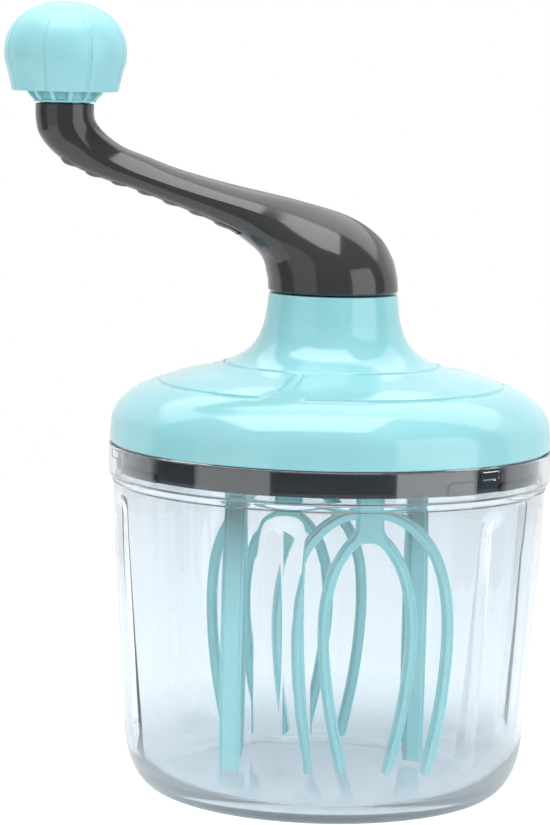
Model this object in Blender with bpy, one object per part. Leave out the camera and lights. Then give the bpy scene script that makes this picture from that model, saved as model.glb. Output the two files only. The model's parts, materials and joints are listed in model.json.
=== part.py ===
"""Hand-crank egg beater: a clear bowl, a screw-down geared lid and four orbiting whisks.

Built for Blender 4.5. All dimensions below are millimetres and are scaled to metres when a mesh is made.
The frame: +Z up along the bowl's axis, z = 0 on the underside of the bowl, the crank points along -X.
"""

import math

import bmesh
import bpy
from mathutils import Matrix, Vector

MM = 0.001
GAP = 0.3                        # air between pieces that touch

# --- Bowl -------------------------------------------------------------------
RIM_Z = 131.3                    # top of the bowl
RIM_R = 83.2                     # outside of the rim band
RIM_BORE = 80.7                  # inside of the rim band
RIM_STEP_Z = 119.4               # lower edge of the rim band
WALL_TOP_R = 82.2                # wall just under the rim band
WALL_FOOT_R = 75.8               # wall where the bottom corner starts
WALL = 2.3
CORNER_H = 24.0                  # height of the elliptical bottom corner
BASE_R = 62.0                    # flat underside
FLOOR_Z = 5.4                    # inside floor
FLOOR_R = 61.0
BOWL_SIDES = 40

# --- Bayonet ----------------------------------------------------------------
LUG_COUNT = 3
LUG_ANGLE = math.radians(-43.4)  # first lug, from +X
LUG_ARC = math.radians(7.0)
LUG_BORE = 79.6                  # how far the lugs reach in
LUG_Z = (125.8, 128.9)
STOP_TOP = 126.4                 # stop block on the skirt, overlaps the lug's height
LEDGE_TOP = 124.7                # ledge that turns under the lug
LEDGE_ARC = math.radians(20.0)
STOP_ARC = math.radians(9.4)
LUG_CLEAR = math.radians(0.7)    # play on both sides of a lug

# --- Lid --------------------------------------------------------------------
LID_EDGE_Z = 131.7               # lower edge of the cover
LID_R = 83.0
COVER_WALL = 2.4
NECK_TOP = 188.3
NECK_R = 24.3
NECK_PLATE = 4.0
NECK_BORE = 10.5
BOSS_R = 13.2
BOSS_FOOT = 163.0
SKIRT_R = 79.2
SKIRT_FOOT = 122.4
SKIRT_WALL = 2.0
SKIRT_FLANGE = (131.9, 133.9)
SKIRT_FLANGE_BORE = 58.0
SEAL_R = (80.4, 81.3)            # clear of the faceted lip of the cover as the lid turns
SEAL_H = 2.4
LID_SIDES = 40
LID_SCREW_Z = (129.5, 144.0)     # underside of the head, tip
POST_R = 3.8
POST_TOP = 153.2
POST_BORE_TOP = 146.0
SCREW_HOLE_R = 1.6               # clearance hole
SCREW_PILOT_R = 1.5              # hole that the thread bites in
SCREW_HEAD = (3.0, 2.0)          # radius, height
SCREW_SHANK_R = 1.2

# --- Gears ------------------------------------------------------------------
MODULE = 1.5
RING_TEETH = 68
PLANET_TEETH = 18
PLANETS = 4
ORBIT = MODULE * (RING_TEETH - PLANET_TEETH) / 2
FIRST_PLANET = math.radians(-65.6)   # first whisk's place, from +X
RING_Z = (129.0, 137.4)
RING_BODY_R = 57.0
EAR_Z = (134.2, 136.1)
EAR_AT = 62.0
PLANET_Z = (129.3, 137.1)
SOCKET_R = 8.6
SOCKET_FOOT = 121.8
SOCKET_TOP = 134.6
JOURNAL_R = 5.0
JOURNAL_TOP = 141.0

# --- Carrier ----------------------------------------------------------------
CARRIER_Z = (138.4, 141.6)
CARRIER_R = 48.0
HUB_FOOT = 134.6
HUB_R = 11.0
PLATE_Z = (124.8, 127.4)
PLATE_R = 56.0
PILLAR_AT = 36.0
PILLAR_R = 4.6
CARRIER_SCREW_Z = (122.4, 137.0)

# --- Drive ------------------------------------------------------------------
SHAFT_R = 7.0
SHAFT_Z = (141.9, 191.6)
SQUARE = 9.0                     # square ends of the shaft
SQUARE_TOP = 206.0
SQUARE_FOOT = 135.4
BOLT_R = 2.0
BOLT_HOLE = 2.4
BOLT_HEAD = (3.8, 3.2)
BOLT_Z = (130.6, 213.0)
WASHER = 1.0                     # thickness
BUSHING_R = 13.0                 # flange on top of the neck
BUSHING_FLANGE = 1.7
COLLAR_R = 14.0                  # collar that carries the shaft on the carrier

# --- Crank ------------------------------------------------------------------
CRANK_R = 101.9                  # radius of the knob's circle
HUB_Z = 188.9                    # underside of the crank's hub
ARM_TOP = 256.9
STRIP_FIRST, STRIP_LAST = 7, 20  # stretch of the arm's stations that the ribbed strip covers
STRIP_SPAN = 0.56                # its width as a share of the arm's
STRIP_DEEP = 2.3
STRIP_RIB = 0.55
RECESS = (20.0, 3.1)             # radius and depth of the hub's hollow underside
PILOT_TOP = 214.5
PIN_R = 2.9
PIN_HOLE = (3.2, 243.0)          # radius, foot

# --- Knob -------------------------------------------------------------------
KNOB_R = 22.9
KNOB_FOOT = 261.4
KNOB_TOP = 294.9
COLLAR_FOOT = 257.4
CAP_BORE = 15.6
CORE_BORE = 3.4
CORE_TOP = 282.0
DOME_Z = 275.8                   # height of the dome's widest ring
DOME_POWER = 2.12                # of the superellipse that the dome's outline follows
DOME_WALL = 2.4

# --- Whisks -----------------------------------------------------------------
WHISK_FOOT = 12.2
STEM_W = 10.6
STEM_D = 8.5
LEG_W = 4.2
LEG_D = 7.6
PLUG = (9.0, 7.0)
STEM_FOOT = 99.6


# --- Helpers ----------------------------------------------------------------

def material(name, colour, roughness, metallic=0.0, transmission=0.0):
    """A Principled material."""
    made = bpy.data.materials.new(name)
    made.use_nodes = True
    shader = made.node_tree.nodes["Principled BSDF"]
    shader.inputs["Base Color"].default_value = (*colour, 1.0)
    shader.inputs["Roughness"].default_value = roughness
    shader.inputs["Metallic"].default_value = metallic
    shader.inputs["Transmission Weight"].default_value = transmission
    made.diffuse_color = (*colour, 0.35 if transmission else 1.0)
    return made


def empty(name, place=(0.0, 0.0, 0.0), turn=0.0, parent=None):
    """An axis to hang pieces on."""
    made = bpy.data.objects.new(name, None)
    made.location = Vector(place) * MM
    made.rotation_euler.z = turn
    made.parent = parent
    bpy.context.scene.collection.objects.link(made)
    return made


def finish(name, bm, look=None, parent=None):
    """Turns a bmesh in millimetres into an object; without a look it is a hidden cutter or addition."""
    bmesh.ops.scale(bm, vec=(MM, MM, MM), verts=bm.verts)
    bmesh.ops.remove_doubles(bm, verts=bm.verts, dist=1e-6)
    bmesh.ops.recalc_face_normals(bm, faces=bm.faces)
    mesh = bpy.data.meshes.new(name)
    bm.to_mesh(mesh)
    bm.free()
    mesh.shade_smooth()
    mesh.set_sharp_from_angle(angle=math.radians(32))
    made = bpy.data.objects.new(name, mesh)
    made.parent = parent
    bpy.context.scene.collection.objects.link(made)
    if look is None:
        made.hide_render = True
        made.display_type = "WIRE"
    else:
        mesh.materials.append(look)
    return made


def add_boolean(target, other, operation):
    step = target.modifiers.new(other.name, "BOOLEAN")
    step.operation = operation
    step.solver = "EXACT"
    step.object = other
    if other.parent is None:
        other.parent = target.parent


def cut(target, *others):
    for other in others:
        add_boolean(target, other, "DIFFERENCE")


def fuse(target, *others):
    for other in others:
        add_boolean(target, other, "UNION")


def turned(name, profile, sides, look=None, parent=None):
    """A closed (radius, z) outline spun about Z."""
    bm = bmesh.new()
    corners = [bm.verts.new((r, 0.0, z)) for r, z in profile]
    edges = [bm.edges.new((a, b)) for a, b in zip(corners, corners[1:] + corners[:1])]
    on_axis = [e for e in edges if all(v.co.x < 1e-9 for v in e.verts)]
    edges = [e for e in edges if e not in on_axis]
    bmesh.ops.delete(bm, geom=on_axis, context="EDGES_FACES")
    bmesh.ops.spin(
        bm,
        geom=corners + edges,
        cent=(0, 0, 0),
        axis=(0, 0, 1),
        angle=2 * math.pi,
        steps=sides,
        use_merge=True,
    )
    bmesh.ops.remove_doubles(bm, verts=bm.verts, dist=1e-4)
    return finish(name, bm, look, parent)


def extruded(name, outline, z_low, z_high, look=None, parent=None, matrix=None):
    """A flat outline pulled up from z_low to z_high, then placed by a matrix."""
    bm = bmesh.new()
    face = bm.faces.new([bm.verts.new((x, y, z_low)) for x, y in outline])
    raised = bmesh.ops.extrude_face_region(bm, geom=[face])["geom"]
    tops = [v for v in raised if isinstance(v, bmesh.types.BMVert)]
    bmesh.ops.translate(bm, vec=(0, 0, z_high - z_low), verts=tops)
    if matrix is not None:
        bmesh.ops.transform(bm, matrix=matrix, verts=bm.verts)
    return finish(name, bm, look, parent)


def lofted(name, rings, look=None, parent=None):
    """Skin over rings of points, closed at both ends."""
    bm = bmesh.new()
    loops = [[bm.verts.new(point) for point in ring] for ring in rings]
    for low, high in zip(loops, loops[1:]):
        for i in range(len(low)):
            j = (i + 1) % len(low)
            bm.faces.new((low[i], low[j], high[j], high[i]))
    bm.faces.new(loops[0])
    bm.faces.new(loops[-1])
    return finish(name, bm, look, parent)


def circle(radius, sides, at=(0.0, 0.0)):
    step = 2 * math.pi / sides
    return [(at[0] + radius * math.cos(i * step), at[1] + radius * math.sin(i * step)) for i in range(sides)]


def rectangle(width, depth):
    w, d = width / 2, depth / 2
    return [(-w, -d), (w, -d), (w, d), (-w, d)]


def polar(radius, angle):
    return (radius * math.cos(angle), radius * math.sin(angle))


def arc(centre, radii, start, stop, steps):
    """Points on an ellipse from start to stop degrees, ends included."""
    points = []
    for i in range(steps + 1):
        a = math.radians(start + (stop - start) * i / steps)
        points.append((centre[0] + radii[0] * math.cos(a), centre[1] + radii[1] * math.sin(a)))
    return points


def smooth(points, count):
    """Catmull-Rom curve through points, count points per span."""
    padded = [2 * Vector(points[0]) - Vector(points[1])]
    padded += [Vector(p) for p in points]
    padded.append(2 * Vector(points[-1]) - Vector(points[-2]))
    curve = []
    for a, b, c, d in zip(padded, padded[1:], padded[2:], padded[3:]):
        for i in range(count):
            t = i / count
            curve.append(0.5 * (2 * b + (c - a) * t + (2 * a - 5 * b + 4 * c - d) * t * t
                                + (3 * b - a - 3 * c + d) * t ** 3))
    curve.append(Vector(points[-1]))
    return curve


def sector(name, r_low, r_high, middle, width, z_low, z_high):
    """A block of a ring, used as a lug, a ledge or a stop."""
    outer = [polar(r_high, middle + width * (i / 4 - 0.5)) for i in range(5)]
    inner = [polar(r_low, middle + width * (0.5 - i / 4)) for i in range(5)]
    return extruded(name, outer + inner, z_low, z_high)


# --- Bowl -------------------------------------------------------------------

def make_bowl(look):
    outer = [(0.0, 0.0)]
    outer += arc((BASE_R, CORNER_H), (WALL_FOOT_R - BASE_R, CORNER_H), -90, 0, 7)
    outer += [(WALL_TOP_R - 1.0, 98.0), (WALL_TOP_R, RIM_STEP_Z - 1.4)]
    outer += [(RIM_R, RIM_STEP_Z), (RIM_R, RIM_Z - 0.6)]
    inner = [(RIM_R - 0.6, RIM_Z), (RIM_BORE + 0.5, RIM_Z), (RIM_BORE, RIM_Z - 0.5), (RIM_BORE, RIM_STEP_Z)]
    inner += [(WALL_TOP_R - WALL - 0.2, RIM_STEP_Z - 2.0), (WALL_TOP_R - 1.0 - WALL, 98.0)]
    inner += arc((FLOOR_R, CORNER_H), (WALL_FOOT_R - WALL - FLOOR_R, CORNER_H - FLOOR_Z), 0, -90, 6)
    inner.append((0.0, FLOOR_Z))
    bowl = turned("bowl", outer + inner, BOWL_SIDES, look)
    for i in range(LUG_COUNT):
        middle = LUG_ANGLE + 2 * math.pi * i / LUG_COUNT
        lug = sector(f"lug_{i + 1}", LUG_BORE, RIM_BORE + 1.2, middle, LUG_ARC, *LUG_Z)
        fuse(bowl, lug)


# --- Lid --------------------------------------------------------------------

def make_seal(look):
    ring_piece("lid_seal", *SEAL_R, RIM_Z + GAP, RIM_Z + GAP + SEAL_H, look, None, LID_SIDES)


def cover_outline():
    """Outside of the cover from the lower edge to the neck, as (radius, z)."""
    shoulder = [(LID_R, LID_EDGE_Z), (82.9, 135.5), (81.3, 143.8), (73.6, 151.2), (59.0, 156.8), (45.0, 160.3)]
    neck = [(34.6, 164.3), (29.0, 169.4), (26.0, 176.2), (24.8, 183.0), (NECK_R, NECK_TOP)]
    curve = smooth(shoulder + neck, 2)
    return [(p.x, p.y) for p in curve]


def make_cover(look, lid):
    outer = cover_outline()
    inner = [(NECK_BORE, NECK_TOP), (NECK_BORE, BOSS_FOOT)]
    inner += [(BOSS_R, BOSS_FOOT), (BOSS_R, NECK_TOP - NECK_PLATE)]
    inner += [(NECK_R - COVER_WALL, NECK_TOP - NECK_PLATE), (26.6 - COVER_WALL, 173.5), (32.0, 162.4)]
    inner += [(45.0, 157.6), (59.0, 153.9), (72.0, 149.0), (79.2, 142.5), (80.4, 134.8)]
    inner += [(81.9, 134.3), (81.9, LID_EDGE_Z)]
    cover = turned("lid_cover", outer + inner, LID_SIDES, look, lid)
    for i in range(4):
        at = polar(EAR_AT, math.radians(45 + 90 * i))
        post = extruded(f"cover_post_{i + 1}", circle(POST_R, 10, at), EAR_Z[1] + GAP, POST_TOP)
        hole = extruded(f"cover_post_hole_{i + 1}", circle(SCREW_PILOT_R, 8, at), EAR_Z[1] - 1.0, POST_BORE_TOP)
        fuse(cover, post)
        cut(cover, hole)


def make_skirt(look, lid):
    bore = SKIRT_R - SKIRT_WALL
    low, high = SKIRT_FLANGE
    outline = [(SKIRT_R, high), (SKIRT_R, SKIRT_FOOT + 0.6), (SKIRT_R - 0.6, SKIRT_FOOT), (bore, SKIRT_FOOT)]
    outline += [(bore, low), (SKIRT_FLANGE_BORE, low), (SKIRT_FLANGE_BORE, high)]
    skirt = turned("lid_skirt", outline, LID_SIDES, look, lid)
    beside = LUG_ARC / 2 + LUG_CLEAR
    reach = RIM_BORE - 0.4
    for i in range(LUG_COUNT):
        middle = LUG_ANGLE + 2 * math.pi * i / LUG_COUNT
        stop_at = middle - beside - STOP_ARC / 2
        ledge_at = middle + beside + LEDGE_ARC / 2
        foot = SKIRT_FOOT + 0.2
        fuse(skirt, sector(f"stop_{i + 1}", bore + 0.4, reach, stop_at, STOP_ARC, foot, STOP_TOP))
        fuse(skirt, sector(f"ledge_{i + 1}", bore + 0.4, reach, ledge_at, LEDGE_ARC, foot, LEDGE_TOP))
    for i in range(4):
        at = polar(EAR_AT, math.radians(45 + 90 * i))
        cut(skirt, extruded(f"skirt_hole_{i + 1}", circle(SCREW_HOLE_R, 8, at), low - 1, high + 1))


def screw(name, place, span, head, shank_r, look, parent, sides=10):
    """A pan-head screw driven upwards, with a hexagon socket in its head: span is (head's underside, tip)."""
    head_z, tip_z = span
    head_r, head_h = head
    profile = [(0.0, head_z), (head_r - 0.5, head_z), (head_r, head_z + 0.6), (head_r, head_z + head_h)]
    profile += [(shank_r, head_z + head_h), (shank_r, tip_z - shank_r), (0.0, tip_z)]
    made = turned(name, profile, sides, look, parent)
    made.location = Vector((*place, 0.0)) * MM
    socket = extruded(f"{name}_socket", circle(head_r * 0.5, 6), head_z - 1.0, head_z + head_h * 0.55)
    socket.parent = made
    cut(made, socket)
    return made


# --- Gears ------------------------------------------------------------------

def tooth_outline(teeth, tip, root, tip_width, root_width):
    """A gear's outline: straight-sided teeth, tooth 1 centred on +X."""
    points = []
    for i in range(teeth):
        middle = 2 * math.pi * i / teeth
        for radius, width in ((root, -root_width), (tip, -tip_width), (tip, tip_width), (root, root_width)):
            points.append(polar(radius, middle + width / 2 / radius))
    return points


def make_ring_gear(look, lid):
    """Fixed ring of internal teeth, screwed to the cover through four ears."""
    body = [(RING_BODY_R, RING_Z[0]), (RING_BODY_R, RING_Z[1]), (46.0, RING_Z[1]), (46.0, RING_Z[0])]
    ring = turned("ring_gear", body, 40, look, lid)
    pitch = MODULE * RING_TEETH / 2
    outline = tooth_outline(RING_TEETH, pitch + 1.85, pitch - 1.3, 1.6, 3.6)
    teeth = extruded("ring_gear_teeth", outline, RING_Z[0] - 1, RING_Z[1] + 1)
    teeth.rotation_euler.z = FIRST_PLANET
    for i in range(4):
        angle = math.radians(45 + 90 * i)
        at = polar(EAR_AT, angle)
        turn = Matrix.Rotation(angle, 4, "Z") @ Matrix.Translation((RING_BODY_R + 3.4, 0, 0))
        arm = extruded(f"ear_arm_{i + 1}", rectangle(8.8, 8.4), *EAR_Z, matrix=turn)
        fuse(ring, arm)
        cut(ring, extruded(f"ear_hole_{i + 1}", circle(SCREW_HOLE_R, 8, at), EAR_Z[0] - 1, EAR_Z[1] + 1))
    bore = extruded("ring_gear_bore", circle(pitch - 1.3, 68), RING_Z[0] - 2, RING_Z[1] + 2)
    cut(ring, bore, teeth)


def make_planet(number, axis, look):
    """Planet gear with a journal above and a socket for its whisk below."""
    pitch = MODULE * PLANET_TEETH / 2
    outline = tooth_outline(PLANET_TEETH, pitch + 1.25, pitch - 1.75, 0.9, 2.7)
    gear = extruded(f"planet_gear_{number}", outline, *PLANET_Z, look, axis)
    foot = extruded(f"planet_foot_{number}", circle(SOCKET_R, 20), SOCKET_FOOT, PLANET_Z[0] + 1)
    journal = extruded(f"planet_journal_{number}", circle(JOURNAL_R, 14), PLANET_Z[1] - 1, JOURNAL_TOP)
    socket = extruded(f"planet_socket_{number}", rectangle(PLUG[0] + 2 * GAP, PLUG[1] + 2 * GAP),
                      SOCKET_FOOT - 1, SOCKET_TOP)
    socket.rotation_euler.z = whisk_turn()
    fuse(gear, foot, journal)
    cut(gear, socket)


def planet_place(i):
    return FIRST_PLANET + 2 * math.pi * i / PLANETS


def whisk_turn():
    """The first whisk lies along X while its gear's first tooth points outwards along the orbit's radius."""
    return -FIRST_PLANET


# --- Carrier ----------------------------------------------------------------

def pillar_place(i):
    return polar(PILLAR_AT, planet_place(i) + math.pi / PLANETS)


def make_carrier(look, crank):
    """Upper plate with four pillars and a square-bored hub."""
    low, high = CARRIER_Z
    outline = [(0.0, HUB_FOOT + 0.8), (HUB_R, HUB_FOOT + 0.8), (HUB_R, low)]
    outline += [(CARRIER_R, low), (CARRIER_R, high), (0.0, high)]
    plate = turned("carrier_plate", outline, 36, look, crank)
    for i in range(PLANETS):
        at = pillar_place(i)
        pillar = extruded(f"pillar_{i + 1}", circle(PILLAR_R, 12, at), PLATE_Z[1] + GAP, high - 0.8)
        pilot = extruded(f"pillar_pilot_{i + 1}", circle(SCREW_PILOT_R, 8, at), PLATE_Z[1] - 1, low)
        journal = extruded(f"journal_hole_{i + 1}", circle(JOURNAL_R + 0.35, 16, polar(ORBIT, planet_place(i))),
                           low - 1, high + 1)
        fuse(plate, pillar)
        cut(plate, pilot, journal)
    bore = extruded("carrier_bore", rectangle(SQUARE + 2 * GAP, SQUARE + 2 * GAP), HUB_FOOT - 1, high + 1)
    cut(plate, bore)


def make_lower_plate(look, crank):
    """Lower plate that closes the gear case, with a hole for each whisk socket."""
    low, high = PLATE_Z
    outline = [(0.0, low), (PLATE_R - 1, low), (PLATE_R, low + 0.8), (PLATE_R, high), (0.0, high)]
    plate = turned("carrier_cover", outline, 40, look, crank)
    for i in range(PLANETS):
        whisk_hole = extruded(f"whisk_hole_{i + 1}", circle(SOCKET_R + 0.5, 20, polar(ORBIT, planet_place(i))),
                              low - 1, high + 1)
        screw_hole = extruded(f"plate_hole_{i + 1}", circle(SCREW_HOLE_R, 8, pillar_place(i)),
                              low - 1, high + 1)
        cut(plate, whisk_hole, screw_hole)


# --- Drive ------------------------------------------------------------------

def make_bushing(look, lid):
    bore, outer, flange = SHAFT_R + GAP, NECK_BORE - GAP, BUSHING_R
    outline = [(bore, BOSS_FOOT), (outer, BOSS_FOOT), (outer, NECK_TOP + GAP), (flange, NECK_TOP + GAP)]
    outline += [(flange, NECK_TOP + BUSHING_FLANGE), (bore, NECK_TOP + BUSHING_FLANGE)]
    turned("neck_bushing", outline, 28, look, lid)


def make_shaft(look, crank):
    """Round shaft with a collar, square at both ends and bored for the through bolt."""
    low, high = SHAFT_Z
    outline = [(0.0, low), (COLLAR_R, low), (COLLAR_R, low + 2.4), (SHAFT_R, low + 3.4), (SHAFT_R, high)]
    outline += [(0.0, high)]
    shaft = turned("crank_shaft", outline, 24, look, crank)
    upper = extruded("shaft_upper_square", rectangle(SQUARE, SQUARE), high - 2, SQUARE_TOP)
    lower = extruded("shaft_lower_square", rectangle(SQUARE, SQUARE), SQUARE_FOOT, low + 2)
    fuse(shaft, upper, lower)
    cut(shaft, extruded("shaft_bore", circle(BOLT_HOLE, 12), SQUARE_FOOT - 1, SQUARE_TOP + 1))


def ring_piece(name, bore, radius, low, high, look, parent, sides=20):
    return turned(name, [(bore, low), (radius, low), (radius, high), (bore, high)], sides, look, parent)


# --- Crank ------------------------------------------------------------------

# Side view of the arm: lower edge, upper edge (x, z) and half width across, from the hub to the knob.
ARM_STATIONS = [
    ((-24.5, 188.9), (24.4, 188.9), 24.4),
    ((-25.1, 194.6), (23.8, 195.4), 24.4),
    ((-27.4, 201.6), (21.6, 202.4), 23.7),
    ((-33.7, 207.3), (16.2, 210.2), 21.0),
    ((-41.3, 212.0), (4.6, 217.4), 17.4),
    ((-51.3, 216.4), (-16.0, 223.2), 14.2),
    ((-63.0, 220.8), (-40.5, 228.6), 11.8),
    ((-75.8, 225.5), (-58.4, 233.3), 10.3),
    ((-88.8, 229.6), (-70.7, 237.7), 9.7),
    ((-99.2, 234.0), (-79.6, 241.1), 9.9),
    ((-106.2, 238.9), (-86.0, 245.4), 10.6),
    ((-111.2, 245.0), (-89.9, 249.8), 10.9),
    ((-112.8, 251.0), (-90.9, 252.8), 11.0),
    ((-113.0, ARM_TOP), (-90.9, ARM_TOP), 11.1),
]


def arm_stations(per_span):
    """The stations with smooth ones between them, as (lower, upper, half width)."""
    lower = smooth([s[0] for s in ARM_STATIONS], per_span)
    upper = smooth([s[1] for s in ARM_STATIONS], per_span)
    widths = smooth([(s[2], 0.0) for s in ARM_STATIONS], per_span)
    return [(a, b, w.x) for a, b, w in zip(lower, upper, widths)]


def arm_ring(low, high, half, sides):
    """A rounded section across the arm, between its lower and upper edges."""
    middle = (low + high) / 2
    reach = (high - low) / 2
    ring = []
    for i in range(sides):
        a = 2 * math.pi * i / sides
        along = reach * math.cos(a)
        ring.append((middle.x + along.x, half * math.sin(a), middle.y + along.y))
    return ring


def slab_ring(low, high, half, depth_out, depth_in):
    """A rectangular section that starts depth_out outside the arm's lower edge and ends depth_in inside it."""
    inward = (high - low).normalized()
    a = low - inward * depth_out
    b = low + inward * depth_in
    return [(a.x, -half, a.y), (b.x, -half, b.y), (b.x, half, b.y), (a.x, half, a.y)]


def make_arm(look, crank):
    """Curved arm with a hub and a channel along its underside."""
    stations = arm_stations(2)
    rings = [arm_ring(*station, 20) for station in stations]
    arm = lofted("crank_arm", rings, look, crank)
    recess = extruded("hub_recess", circle(RECESS[0], 28), HUB_Z - 1, HUB_Z + RECESS[1])
    socket = extruded("hub_socket", rectangle(SQUARE + 2 * GAP, SQUARE + 2 * GAP), HUB_Z, SQUARE_TOP + GAP)
    pilot = extruded("hub_pilot", circle(BOLT_R + GAP, 12), HUB_Z, PILOT_TOP)
    strip = stations[STRIP_FIRST:STRIP_LAST]
    seat = [slab_ring(low, high, half * STRIP_SPAN + GAP, 3.0, STRIP_DEEP + GAP) for low, high, half in strip]
    pin = extruded("arm_pin_hole", circle(PIN_HOLE[0], 14, (-CRANK_R, 0.0)), PIN_HOLE[1], ARM_TOP + 1)
    cut(arm, recess, socket, pilot, lofted("strip_seat", seat), pin)


def make_arm_cover(look, crank):
    """Strip that closes the arm's underside, with a row of cross ribs to grip."""
    strip = arm_stations(2)[STRIP_FIRST:STRIP_LAST]
    rings = []
    for i, (low, high, half) in enumerate(strip):
        proud = STRIP_RIB if i % 2 else -STRIP_RIB
        if i == 0:
            shift = (strip[1][0] - low).normalized() * GAP
        elif i == len(strip) - 1:
            shift = (strip[-2][0] - low).normalized() * GAP
        else:
            shift = Vector((0.0, 0.0))
        rings.append(slab_ring(low + shift, high + shift, half * STRIP_SPAN, proud, STRIP_DEEP))
    lofted("crank_arm_cover", rings, look, crank)


# --- Knob -------------------------------------------------------------------

def dome_outline(radius, height, steps):
    """The dome's outline as (r, z), from its widest ring to its top."""
    points = []
    for i in range(steps + 1):
        a = math.pi / 2 * i / steps
        r = radius * math.cos(a) ** (2 / DOME_POWER)
        points.append((r if i < steps else 0.0, DOME_Z + height * math.sin(a) ** (2 / DOME_POWER)))
    return points


def make_knob(look, knob):
    """Hollow dome cap and the fluted core that turns on the pin."""
    outer = [(19.9, KNOB_FOOT), (20.8, 265.4), (21.8, 269.4), (KNOB_R - 0.3, 272.6)]
    outer += dome_outline(KNOB_R, KNOB_TOP - DOME_Z, 9)
    inner = [(0.0, KNOB_TOP - DOME_WALL)]
    inner += dome_outline(KNOB_R - DOME_WALL, KNOB_TOP - DOME_Z - DOME_WALL, 6)[-2::-1]
    inner += [(18.6, 265.0), (CAP_BORE, 263.9), (CAP_BORE, KNOB_FOOT)]
    turned("knob_cap", outer + inner, 32, look, knob)
    core = [(CORE_BORE, COLLAR_FOOT), (11.7, COLLAR_FOOT), (11.9, COLLAR_FOOT + 1.0), (14.4, KNOB_FOOT - 0.2)]
    core += [(15.2, KNOB_FOOT + 0.2), (15.2, 263.2), (9.0, 264.4), (7.0, CORE_TOP), (CORE_BORE, CORE_TOP)]
    turned("knob_core", core, 24, look, knob)


def make_knob_pin(look, crank):
    """Steel pin fixed in the arm, headed over above the knob's core."""
    head = CORE_TOP + 1.6
    foot = PIN_HOLE[1] + GAP
    outline = [(0.0, foot), (PIN_R, foot), (PIN_R, head), (5.0, head), (5.0, head + 1.6), (3.4, head + 2.6)]
    outline += [(0.0, head + 2.6)]
    pin = turned("knob_pin", outline, 14, look, crank)
    pin.location.x = -CRANK_R * MM
    washer = ring_piece("knob_washer", 3.2, 6.2, CORE_TOP + GAP, CORE_TOP + GAP + WASHER, look, crank, 16)
    washer.location.x = -CRANK_R * MM


# --- Whisks -----------------------------------------------------------------

OUTER_LEG = [(3.6, 111.6), (10.8, 109.4), (18.4, 103.4), (24.6, 94.0), (28.4, 80.0), (29.3, 62.0)]
OUTER_LEG += [(27.2, 38.0), (22.2, WHISK_FOOT)]
INNER_LEG = [(2.2, 101.6), (5.6, 98.8), (9.6, 93.6), (13.2, 86.6), (15.8, 74.0), (15.9, 58.0)]
INNER_LEG += [(13.2, 36.0), (8.0, WHISK_FOOT)]


def leg_outline(route, side):
    """The flat outline of one leg: a band of constant width along a smooth route."""
    curve = smooth(route, 3)
    left, right = [], []
    for i, point in enumerate(curve):
        before = curve[max(i - 1, 0)]
        after = curve[min(i + 1, len(curve) - 1)]
        along = (after - before).normalized()
        across = Vector((-along.y, along.x)) * LEG_W / 2
        left.append(point + across)
        right.append(point - across)
    return [(side * p.x, p.y) for p in left + right[::-1]]


def upright():
    """Turns an outline drawn as (across, z) upright, centred on the whisk's plane."""
    return Matrix.Rotation(math.pi / 2, 4, "X")


def make_whisk(number, axis, look):
    """Flat four-legged fork on a stem, with a plug for its gear's socket."""
    half = STEM_D / 2
    stem_outline = [(-STEM_W / 2, SOCKET_FOOT - GAP), (-STEM_W / 2, STEM_FOOT + 3.0), (-3.6, STEM_FOOT)]
    stem_outline += [(3.6, STEM_FOOT), (STEM_W / 2, STEM_FOOT + 3.0), (STEM_W / 2, SOCKET_FOOT - GAP)]
    whisk = extruded(f"whisk_{number}", stem_outline, -half, half, look, axis, upright())
    for side in (1, -1):
        for label, route in (("outer", OUTER_LEG), ("inner", INNER_LEG)):
            name = f"{label}_leg_{number}_{side}"
            leg = extruded(name, leg_outline(route, side), -LEG_D / 2, LEG_D / 2, matrix=upright())
            fuse(whisk, leg)
    plug = extruded(f"plug_{number}", rectangle(*PLUG), SOCKET_FOOT - 2, SOCKET_TOP - 0.6)
    fuse(whisk, plug)
    for other in [whisk] + [step.object for step in whisk.modifiers]:
        other.rotation_euler.z = whisk_turn()


# --- Assembly ---------------------------------------------------------------

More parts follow.
